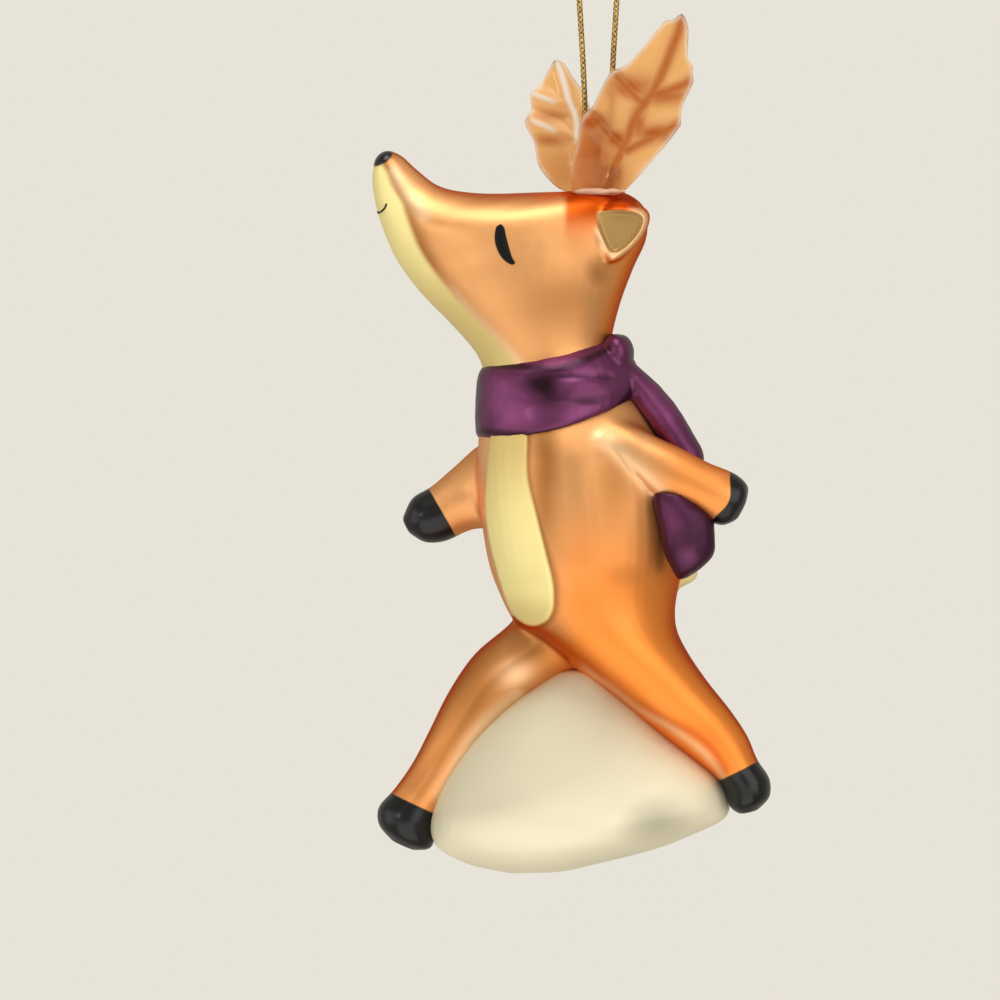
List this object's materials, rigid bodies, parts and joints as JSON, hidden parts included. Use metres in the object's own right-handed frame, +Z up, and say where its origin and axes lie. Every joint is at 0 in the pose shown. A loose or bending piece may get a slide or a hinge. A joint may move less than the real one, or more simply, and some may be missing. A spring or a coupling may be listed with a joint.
{
  "type": "reindeer ornament",
  "caption": "Hollow blown-glass reindeer tree ornament with leaf-shaped antlers, scarf and snow mound, hung from a cord loop by a pressed cap and a spring wire.",
  "frame": {"origin": "the hook point, at the top inside of the cord loop, where a hook or twig carries the ornament", "axes": "+Z up along the cord, -X the way the nose points, -Y the figure's left side, which the picture shows"},
  "size_m": [0.0678, 0.036, 0.2001],
  "materials": {
    "lacquered_glass": "silvered inside, satin pearl lacquer outside",
    "amber_plastic": "moulded, translucent amber",
    "glue": "set clear glue, peach tint",
    "gilt_cap": "pressed and gilt",
    "spring_wire": "drawn, gilt",
    "metallic_cord": "braided metallic thread"
  },
  "bodies": {
    "cord": {"hang_cord": "metallic_cord", "cord_knot": "metallic_cord"},
    "wire": {"hanger_wire": "spring_wire"},
    "cap": {"neck_cap": "gilt_cap"},
    "figure": {"glass_body": "lacquered_glass", "antler_left": "amber_plastic", "antler_right": "amber_plastic", "antler_glue_left": "glue", "antler_glue_right": "glue"}
  },
  "joints": [
    {"name": "cord_swing", "type": "hinge", "parent": "cord", "child": "wire", "pos_m": [0, 0, -0.06505], "axis": [0, 1, 0], "range_deg": [-60, 60]},
    {"name": "wire_draw", "type": "slide", "parent": "wire", "child": "cap", "axis": [0, 0, -1], "range_m": [0, 0.01]},
    {"name": "cap_turn", "type": "hinge", "parent": "cap", "child": "figure", "pos_m": [0, 0, -0.0735], "axis": [0, 0, 1], "range_deg": [-15, 15]}
  ]
}
